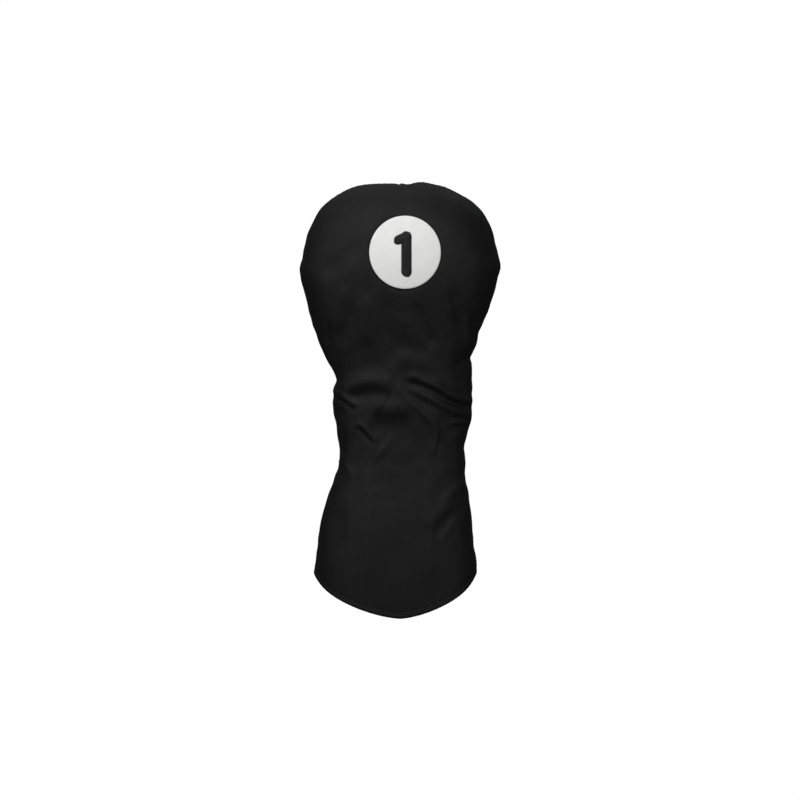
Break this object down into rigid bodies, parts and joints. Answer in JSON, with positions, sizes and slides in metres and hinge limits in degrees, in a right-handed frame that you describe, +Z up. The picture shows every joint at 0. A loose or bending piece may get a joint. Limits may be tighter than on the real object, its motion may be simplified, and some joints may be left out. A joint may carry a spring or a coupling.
{
  "type": "driver head cover",
  "caption": "Padded nylon sock with a domed crown, a gathered neck and a flared sleeve with a rounded hem; a round badge with a raised numeral sits on the crown's front.",
  "frame": {"origin": "centre of the mouth at the bottom, level with the hem's lowest point", "axes": "+Z up along the sleeve to the crown's top, -Y out of the badge side, +X to the right seen from the badge side; the seam lies in the plane y = 0"},
  "size_m": [0.1566, 0.0898, 0.34],
  "materials": {
    "black_nylon": "satin",
    "crown_foam": "matte",
    "fleece": "matte",
    "neck_elastic": "matte",
    "black_thread": "satin",
    "badge_leatherette": "satin",
    "numeral_thread": "satin",
    "bond_film": "matte"
  },
  "bodies": {
    "root": {"front_panel": "black_nylon", "back_panel": "black_nylon", "front_hem_facing": "black_nylon", "back_hem_facing": "black_nylon", "front_padding": "crown_foam", "back_padding": "crown_foam", "front_lining": "fleece", "back_lining": "fleece", "upper_neck_elastic": "neck_elastic", "lower_neck_elastic": "neck_elastic", "front_hem_topstitch": "black_thread", "back_hem_topstitch": "black_thread", "lining_hem_thread": "black_thread", "shell_seam_thread": "black_thread", "lining_seam_thread": "black_thread", "upper_elastic_zigzag": "black_thread", "lower_elastic_zigzag": "black_thread", "crown_tack": "black_thread", "badge_disc": "badge_leatherette", "badge_numeral": "numeral_thread", "badge_bond_film": "bond_film"}
  },
  "joints": []
}
